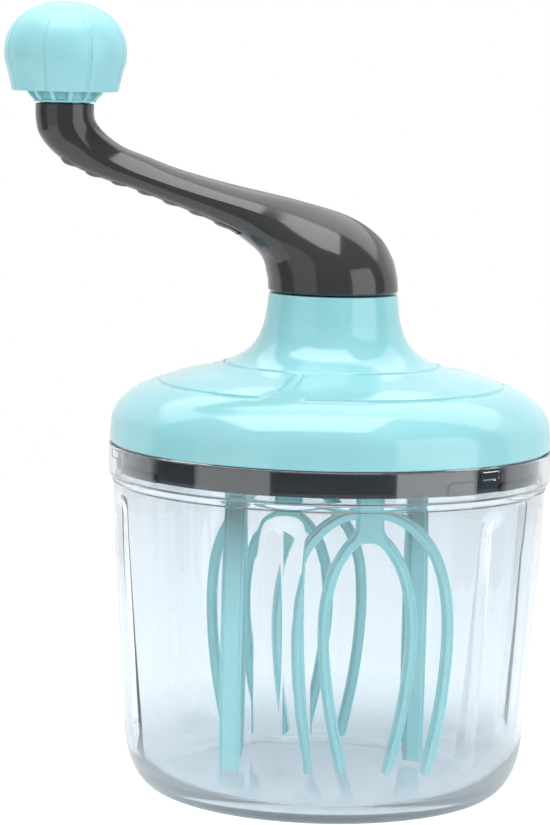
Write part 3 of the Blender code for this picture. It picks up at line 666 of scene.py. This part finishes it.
def arm_ring(roof, station, notch, shrink=0.0, sides=80):
    """A section across the arm: an oval below, a roof above; a notch is a channel for the grip strip."""
    below, above, half, ridge = station
    centre = (below + above) / 2
    reach = (above - below) / 2
    inward = reach.normalized()
    edge = math.pi - math.asin(STRIP_SPAN) * 1.02
    angles = [-edge + 2 * edge * i / (sides - 1) for i in range(sides)]
    flat = [edge + (2 * math.pi - 2 * edge) * i / 9 for i in range(10)]
    ring = []
    for a in angles + flat:
        c, s = math.cos(a), math.sin(a)
        if c > 0:
            c = c ** (1 + ROOF_POWER * ridge)
        else:
            fuller = 1 - BELLY_POWER * ridge
            c, s = -abs(c) ** fuller, math.copysign(abs(s) ** fuller, s)
        point = centre + reach * c
        side = hub_side(roof, point.x, point.y, half * s)
        point = centre + reach * (1 - shrink) * c
        if a in flat and notch:
            point += inward * max(STRIP_DEEP + CLEAR - (1 + c) * reach.length, 0.0)
        ring.append((point.x, side * (1 - shrink), point.y))
    return ring


def make_arm(look):
    stations = arm_stations()
    roof = [s[1] for s in stations]
    rings = [arm_ring(roof, stations[0], False, 0.02), arm_ring(roof, stations[1], False)]
    for i in range(1, len(stations) - 1):
        inside = STRIP_FIRST <= i < STRIP_LAST
        if i in (STRIP_FIRST, STRIP_LAST):
            rings.append(arm_ring(roof, stations[i], not inside))
        rings.append(arm_ring(roof, stations[i], inside))
    last = stations[-1]
    lifted = (stations[-2][0].lerp(last[0], 0.5), stations[-2][1].lerp(last[1], 0.5), *last[2:])
    rings.append(arm_ring(roof, lifted, False))
    rings += [arm_ring(roof, last, False, shrink) for shrink in (0.04, 0.14)]
    rings.append([(x, y, z + NECK_BOSS) for x, y, z in rings[-1]])
    bm = loft(rings)
    bmesh.ops.remove_doubles(bm, verts=bm.verts, dist=WELD)
    arm = make("crank_arm_shell", bm, look, 38)
    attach(arm, "crank")
    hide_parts("crank_arm")


def make_grip(look):
    """Strip under the arm with rounded cross ribs."""
    stations, spacing = resample_stations(arm_stations()[STRIP_FIRST:STRIP_LAST + 1], 0.4)
    total = spacing * (len(stations) - 1)
    rings = []
    for i, (below, above, half) in enumerate(stations):
        along = spacing * i
        inward = (above - below).normalized()
        from_rib = abs(((along + RIB_SHIFT) / RIB_PITCH + 0.5) % 1.0 - 0.5) * RIB_PITCH
        rib = RIB_HIGH * clamp(1 - (2 * from_rib / RIB_LONG) ** 2)
        ends = clamp(min(along, total - along) / 0.8)
        wide = half * STRIP_SPAN - CLEAR
        reach = (above - below).length / 2
        ring = []
        for j in range(13):
            side = -1 + j / 6
            surface = reach - reach * math.sqrt(max(0.0, 1 - (side * STRIP_SPAN) ** 2))
            crown = rib * ends * clamp(4 * (1 - abs(side))) ** 0.5
            point = below + inward * (surface - crown)
            ring.append((point.x, wide * side, point.y))
        floor = below + inward * STRIP_DEEP
        ring += [(floor.x, wide, floor.y), (floor.x, -wide, floor.y)]
        rings.append(ring)
    grip = make("crank_grip_strip", loft(rings), look, 35)
    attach(grip, "crank")
    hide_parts("crank_arm_cover")


def resample_stations(stations, spacing):
    """Stations evenly spaced along the arm's lower edge, and their spacing."""
    lengths = [0.0]
    for one, two in zip(stations, stations[1:]):
        lengths.append(lengths[-1] + (two[0] - one[0]).length)
    result = []
    steps = round((lengths[-1] - 2 * CLEAR) / spacing)
    spacing = (lengths[-1] - 2 * CLEAR) / steps
    k = 0
    for i in range(steps + 1):
        at = CLEAR + i * spacing
        while lengths[k + 1] < at and k < len(lengths) - 2:
            k += 1
        t = (at - lengths[k]) / (lengths[k + 1] - lengths[k])
        one, two = stations[k], stations[k + 1]
        result.append((one[0].lerp(two[0], t), one[1].lerp(two[1], t), one[2] + (two[2] - one[2]) * t))
    return result, spacing


# --- Knob -----------------------------------------------------------------------

DOME_Z = 275.8          # height of the dome's widest ring
DOME_POWER = 2.12
CAP_BORE = 15.6
CAP_WALL = 2.4
GROOVE_R = 8.0          # the dome's grooves die out inside this radius


def knob_point(outside):
    """Shape function of the dome: eight upright grooves that die out towards the top."""
    def shape(angle, r, z):
        if (r, z) not in outside or r < 2.0:
            return angle, r, z
        _, offset = nearest(angle, KNOB_GROOVE_AT)
        half = 0.35 + 0.5 * clamp((r - 2.0) / 10.0)
        across = math.radians(offset) * r
        depth = 0.42 * clamp(1 - (across / half) ** 2) * ease((r - GROOVE_R) / 9.0)
        lift = clamp((z - DOME_Z) / (KNOB_TOP - DOME_Z))
        return angle, r - depth * (1 - lift), z - depth * lift
    return shape


def dome_outline(radius, height, steps):
    """The dome's outline as (r, z), from its widest ring to its top."""
    points = []
    for i in range(steps + 1):
        a = math.pi / 2 * i / steps
        r = radius * math.cos(a) ** (2 / DOME_POWER) if i < steps else 0.0
        points.append((r, DOME_Z + height * math.sin(a) ** (2 / DOME_POWER)))
    return points


def make_knob_cap(look):
    flank = [(19.8, KNOB_FOOT), (20.75, 265.4), (21.75, 269.4), (KNOB_R - 0.28, 272.6), (KNOB_R, DOME_Z)]
    flank = smooth(flank, 6)
    outer = [(19.5, KNOB_FOOT), (19.82, KNOB_FOOT + 0.1)] + [tuple(p) for p in flank[1:-1]]
    outer += dome_outline(KNOB_R, KNOB_TOP - DOME_Z, 40)
    inner = dome_outline(KNOB_R - CAP_WALL, KNOB_TOP - DOME_Z - CAP_WALL, 8)[:-1]
    inner = [(CAP_BORE, KNOB_FOOT), (CAP_BORE, 263.9), (18.6, 265.0)] + inner + [(0.0, KNOB_TOP - CAP_WALL)]
    profile = [(0.0, KNOB_TOP)] + outer[-2::-1] + inner
    angles = directions(2.0, KNOB_GROOVE_AT, 4.0, 0.4)
    cap = make("knob_dome", revolve(profile, angles, knob_point(set(outer))), look, 30, KNOB_AT)
    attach(cap, "knob")
    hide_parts("knob_cap")


HOLLOW_R = 11.3         # wall between the collar's ribs


def collar_point(outside):
    """Shape function of the collar: twelve ribs with scalloped hollows between them."""
    def shape(angle, r, z):
        if (r, z) not in outside:
            return angle, r, z
        _, offset = nearest(angle, COLLAR_RIB_AT)
        hollow = ease((abs(offset) - 2.8) / 2.0)
        return angle, r - max(0.0, r - HOLLOW_R) * hollow, z
    return shape


def make_collar(look):
    bore, top = 3.4, 282.0
    foot = [(11.5, 0.0), (11.75, 0.2), (11.75, 0.8)]
    foot = [(bore, COLLAR_FOOT)] + [(r, COLLAR_FOOT + z) for r, z in foot]
    slope = [(r, COLLAR_FOOT + z) for r, z in ((11.9, 1.05), (12.4, 1.35), (13.2, 2.2), (14.0, 3.2))]
    slope += [(r, KNOB_FOOT + z) for r, z in ((14.5, -0.1), (15.0, 0.3), (15.0, 1.8))]
    rest = [(9.0, KNOB_FOOT + 2.8), (7.0, top), (bore, top)]
    angles = directions(3.0, COLLAR_RIB_AT, 8.0, 0.8)
    bm = revolve(foot + slope + rest, angles, collar_point(set(slope)))
    collar = make("knob_collar", bm, look, 30, KNOB_AT)
    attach(collar, "knob")
    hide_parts("knob_core")


# --- Whisks ---------------------------------------------------------------------

# Routes of a whisk's legs as (x, z) in its own plane.
OUTER_LEG = [(3.6, 111.6), (10.8, 109.4), (18.4, 103.4), (24.6, 94.0),
             (28.4, 80.0), (29.3, 62.0), (27.2, 38.0), (22.2, WHISK_FOOT)]
INNER_LEG = [(-2.2, 101.7), (2.2, 101.7), (6.2, 99.4), (9.9, 94.0), (13.2, 86.6),
             (15.8, 74.0), (15.9, 58.0), (13.2, 36.0), (8.0, WHISK_FOOT)]
PLATE = 2.6             # half thickness of the fork's plate
LEG_HALF = 2.1
LEG_RISE = 3.8          # half depth over a leg's rib
STEM_HALF = 5.2
STEM_RISE = 4.2
# The stem's half width and height where it spreads into the legs.
STEM_FOOT = [(5.35, 105.0), (5.7, 103.6), (6.3, 102.3), (7.1, 101.1), (6.4, 100.7)]
TIP_STEPS = 6
INSET = 1.25            # how far the raised middle stands in from the edge
CHAMFER = 0.35


def step_section(half, rise):
    """A rail's section as (across, depth): a plate with a raised middle on both faces, edges chamfered."""
    c = CHAMFER
    quarter = [(half, 0.0), (half, PLATE - c), (half - c, PLATE), (half - INSET + 0.12, PLATE)]
    quarter += [(half - INSET, PLATE + 0.12), (half - INSET, rise - c), (half - INSET - c, rise)]
    upper = quarter + [(-x, y) for x, y in reversed(quarter)]
    return upper + [(-x, -y) for x, y in upper[1:-1]]


def leg(route, side):
    """One leg: the rail's section carried along a smooth route in the whisk's plane, to a rounded tip."""
    curve = smooth(route, 7)
    tip, last = curve[-1], curve[-2]
    steps = range(1, TIP_STEPS + 1)
    curve = curve[:-1] + [last.lerp(tip, 1 - (1 - i / TIP_STEPS) ** 2) for i in steps]
    section = step_section(LEG_HALF, LEG_RISE)
    rings = []
    for i, point in enumerate(curve):
        before = curve[max(i - 1, 0)]
        after = curve[min(i + 1, len(curve) - 1)]
        along = (after - before).normalized()
        behind_tip = LEG_HALF - min((tip - point).length, LEG_HALF)
        across = Vector((-along.y, along.x)) * max(math.sqrt(1 - (behind_tip / LEG_HALF) ** 2), 0.12)
        ring = []
        for u, v in section:
            at = point + across * u
            ring.append((side * at.x, v, at.y))
        rings.append(ring)
    return loft(rings)


def stem():
    """The stem: wide and flat, spreading down to the arch of the inner legs."""
    rings = []
    for half, z in [(STEM_HALF, WHISK_TOP - 12.3), (STEM_HALF, 106.6)] + STEM_FOOT:
        ring = [(u, v, z) for u, v in step_section(half, STEM_RISE)]
        rings.append(ring)
    return loft(rings)


def plug():
    """Square plug that goes up into the gear's socket."""
    rings = []
    for z, grow in ((WHISK_TOP - 14.5, 0.0), (WHISK_TOP - 0.5, 0.0), (WHISK_TOP, -0.5)):
        w, d = 4.5 + grow, 3.5 + grow
        rings.append([(-w, -d, z), (w, -d, z), (w, d, z), (-w, d, z)])
    return loft(rings)


def united(name, parts, look):
    """One piece from several overlapping ones."""
    pieces = [make(f"{name}_{i}", part, look) for i, part in enumerate(parts)]
    for other in pieces[1:]:
        step = pieces[0].modifiers.new(other.name, "BOOLEAN")
        step.operation = "UNION"
        step.solver = "EXACT"
        step.object = other
    bpy.context.view_layer.update()
    graph = bpy.context.evaluated_depsgraph_get()
    mesh = bpy.data.meshes.new_from_object(pieces[0].evaluated_get(graph))
    for piece in pieces:
        bpy.data.objects.remove(piece)
    return mesh


def make_whisks(look):
    parts = [stem(), plug()]
    for side in (1, -1):
        parts += [leg(OUTER_LEG, side), leg(INNER_LEG, side)]
    mesh = united("whisk_fork", parts, look)
    mesh.shade_smooth()
    mesh.set_sharp_from_angle(angle=math.radians(24))
    for i, node in enumerate(WHISKS):
        at = middle(node)
        fork = bpy.data.objects.new(f"fork_{i + 1}", mesh.copy())
        bpy.context.scene.collection.objects.link(fork)
        turn = Matrix.Translation((at[0] * MM, at[1] * MM, 0)) @ Matrix.Rotation(math.pi / 2 * i, 4, "Z")
        fork.data.transform(turn)
        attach(fork, node)
        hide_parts(node)


# --- Studio ---------------------------------------------------------------------

CAMERA_AT = (0.0, -1.1734, 0.2805)
CAMERA_TURN = (math.radians(90 - 6.71), math.radians(1.02), math.radians(1.26))   # pitch, yaw, roll
FOCAL = 136.6
STUDIO_R = 1.25         # how far the side lamps and the backdrop stand
FLOOR_SIZE = 0.85       # radius of the floor
STAGE_Z = -0.0002       # just under the bowl's foot
BACKDROP_HALF = 55      # the backdrop reaches this many degrees to each side behind the object
BACKDROP_Z = (-0.01, 1.0)
SEEN_GLOW = 0.45        # how much more the stage glows straight into the camera


def make_camera():
    data = bpy.data.cameras.new("camera")
    data.sensor_fit = "VERTICAL"
    data.sensor_height = 36.0
    data.lens = FOCAL
    data.clip_start = 0.05
    data.clip_end = 20.0
    camera = bpy.data.objects.new("camera", data)
    pitch, yaw, roll = CAMERA_TURN
    turn = Matrix.Rotation(yaw, 4, "Z") @ Matrix.Rotation(pitch, 4, "X") @ Matrix.Rotation(roll, 4, "Z")
    camera.matrix_world = Matrix.Translation(CAMERA_AT) @ turn
    bpy.context.scene.collection.objects.link(camera)
    bpy.context.scene.camera = camera


def softbox(name, place, target, width, height, radiance):
    """A rectangular lamp that faces its target, as bright as radiance all over."""
    data = bpy.data.lights.new(name, "AREA")
    data.shape = "RECTANGLE"
    data.size = width
    data.size_y = height
    data.energy = radiance * math.pi * width * height
    lamp = bpy.data.objects.new(name, data)
    lamp.location = place
    lamp.rotation_euler = (Vector(target) - Vector(place)).to_track_quat("-Z", "Y").to_euler()
    bpy.context.scene.collection.objects.link(lamp)


def around(azimuth, distance, z):
    """A place seen from the object at an azimuth, 0 towards the camera and positive to its right."""
    a = math.radians(azimuth)
    return (distance * math.sin(a), -distance * math.cos(a), z)


def make_lights():
    softbox("top_box", (-0.19, -0.16, 1.2), (-0.19, -0.16, 0.0), 1.0, 0.75, 4.9)
    softbox("left_box", around(-50, STUDIO_R, 0.5), (0, 0, 0.5), 0.95, 0.9, 0.75)
    softbox("left_low_box", around(-50, STUDIO_R, -0.105), (0, 0, -0.105), 0.95, 0.3, 1.35)
    softbox("right_box", around(57, STUDIO_R, 0.42), (0, 0, 0.42), 1.05, 1.1, 2.25)


def plain(name, colour, glow):
    """Paper-white stage material with a faint grain; it glows, and more so straight into the camera."""
    n = Nodes(name)
    n.colours(n.spread(n.noise(60, 4.0), 0, 1), shade(colour, 0.985), colour)
    n.link(n.spread(n.noise(300, 3.0), 0.8, 0.95), n.shader.inputs["Roughness"])
    n.bump(n.noise(800, 3.0), 0.00001)
    n.set(Emission_Color=(1.0, 1.0, 1.0, 1.0))
    path = n.add("ShaderNodeLightPath")
    strength = n.spread(path.outputs["Is Camera Ray"], glow, glow + SEEN_GLOW)
    n.link(strength, n.shader.inputs["Emission Strength"])
    return n.look


def stage_piece(name, bm, look):
    mesh = bpy.data.meshes.new(name)
    bm.to_mesh(mesh)
    bm.free()
    mesh.materials.append(look)
    piece = bpy.data.objects.new(name, mesh)
    bpy.context.scene.collection.objects.link(piece)
    return piece


def make_stage():
    """A round floor, and a curved backdrop that only the object reflects and shows through."""
    bm = bmesh.new()
    bmesh.ops.create_circle(bm, cap_ends=True, segments=96, radius=FLOOR_SIZE)
    floor = stage_piece("floor", bm, plain("floor_paper", (0.82, 0.83, 0.84), 0.25))
    floor.location.z = STAGE_Z

    bm = bmesh.new()
    steps = 24
    rows = []
    for z in BACKDROP_Z:
        row = []
        for i in range(steps + 1):
            azimuth = 180 - BACKDROP_HALF + 2 * BACKDROP_HALF * i / steps
            row.append(bm.verts.new(around(azimuth, STUDIO_R, z)))
        rows.append(row)
    for i in range(steps):
        bm.faces.new((rows[0][i], rows[0][i + 1], rows[1][i + 1], rows[1][i]))
    backdrop = stage_piece("backdrop", bm, plain("backdrop_paper", (0.9, 0.9, 0.9), 0.22))
    backdrop.visible_camera = False


STUDIO_DARK = (0.06, 0.063, 0.07)
BACK_WHITE = 1.0        # reflected from behind the object
CEILING_WHITE = 2.3     # reflected from high up behind it
ROOM_GREY = 0.4         # what lights matt surfaces from all round
SEEN_WHITE = 1.0        # what the camera itself sees


def make_world():
    world = bpy.data.worlds.new("studio")
    bpy.context.scene.world = world
    world.use_nodes = True
    nodes, links = world.node_tree.nodes, world.node_tree.links

    def ramp(value, start, stop, first=0.0, last=1.0):
        node = nodes.new("ShaderNodeMapRange")
        node.inputs["From Min"].default_value = start
        node.inputs["From Max"].default_value = stop
        node.inputs["To Min"].default_value = first
        node.inputs["To Max"].default_value = last
        links.new(value, node.inputs["Value"])
        return node.outputs["Result"]

    def constant(grey):
        node = nodes.new("ShaderNodeValue")
        node.outputs["Value"].default_value = grey
        return node.outputs["Value"]

    place = nodes.new("ShaderNodeTexCoord")
    axes = nodes.new("ShaderNodeSeparateXYZ")
    links.new(place.outputs["Generated"], axes.inputs["Vector"])
    path = nodes.new("ShaderNodeLightPath")
    behind = ramp(axes.outputs["Z"], 0.5, 0.58, BACK_WHITE, CEILING_WHITE)
    layers = [(ramp(axes.outputs["Y"], 0.21, 0.27), behind),
              (ramp(path.outputs["Is Diffuse Ray"], 0.4, 0.6), constant(ROOM_GREY)),
              (ramp(path.outputs["Is Camera Ray"], 0.4, 0.6), constant(SEEN_WHITE))]
    source = None
    for share, white in layers:
        mix = nodes.new("ShaderNodeMix")
        mix.data_type = "RGBA"
        mix.inputs["A"].default_value = (*STUDIO_DARK, 1.0)
        if source is not None:
            links.new(source, mix.inputs["A"])
        links.new(white, mix.inputs["B"])
        links.new(share, mix.inputs["Factor"])
        source = mix.outputs["Result"]
    links.new(source, nodes["Background"].inputs["Color"])
    bpy.context.scene.view_settings.view_transform = "Standard"


# --- Assembly -------------------------------------------------------------------

def main():
    make_camera()
    make_world()
    make_lights()
    make_stage()

    mint = moulded("mint_plastic", (0.285, 0.60, 0.645), 0.11)
    knob_mint = moulded("knob_plastic", (0.285, 0.605, 0.65), 0.33)
    # Whisk mint, brighter than the lid's: partly the whisks' own mint and partly painted light, lifted to
    # make up for the dim light inside the bowl.
    whisk_mint_with_painted_light = moulded("whisk_plastic", (0.38, 0.78, 0.79), 0.22, 0.000012)
    grey = moulded("dark_grey_plastic", (0.042, 0.042, 0.044), 0.11)
    grip = moulded("grip_rubber", (0.05, 0.05, 0.053), 0.38, grain=0.00001)
    nylon = moulded("gear_nylon", (0.78, 0.78, 0.75), 0.42, grain=0.00001)
    steel = turned_steel("plated_steel")
    silicone = soft_silicone("milky_silicone")
    clear = clear_plastic("clear_bowl_plastic")

    make_bowl(clear)
    make_seal(silicone)
    make_cover(mint)
    make_skirt(grey)
    make_arm(grey)
    make_grip(grip)
    make_knob_cap(knob_mint)
    make_collar(knob_mint)
    make_whisks(whisk_mint_with_painted_light)

    looks = {"gear_nylon": nylon, "steel": steel, "dark_grey_plastic": grey, "mint_plastic": mint,
             "whisk_plastic": whisk_mint_with_painted_light, "clear_bowl": clear, "silicone": silicone}
    for part in frame["record"]["subparts"]:
        obj = frame["nodes"][part["node"]]
        obj.data.materials.clear()
        obj.data.materials.append(looks[part["material_slot"]])


main()
